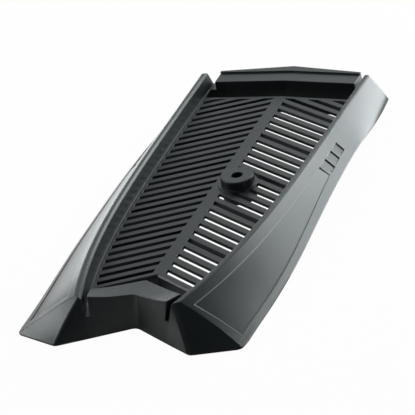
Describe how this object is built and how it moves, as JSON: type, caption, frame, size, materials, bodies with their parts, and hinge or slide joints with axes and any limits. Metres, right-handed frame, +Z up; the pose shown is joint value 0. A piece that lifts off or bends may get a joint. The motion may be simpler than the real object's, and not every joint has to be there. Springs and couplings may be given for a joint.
{
  "type": "console vertical stand",
  "caption": "Low black plastic cradle that holds a game console upright between two leaning side walls, with a chevron vent grille floor, a V-notched front and a screw boss.",
  "frame": {"origin": "middle of the footprint on the table", "axes": "+Y from the V-notched front to the rear, +Z up, +X to the side where the screw boss sits"},
  "size_m": [0.1284, 0.305, 0.0221],
  "materials": {
    "body": "satin black moulded plastic with a fine texture",
    "pad": "matt black rubber"
  },
  "bodies": {
    "root": {"stand_body": "body", "pad_front_left": "pad", "pad_front_right": "pad", "pad_rear_left": "pad", "pad_rear_right": "pad"}
  },
  "joints": []
}
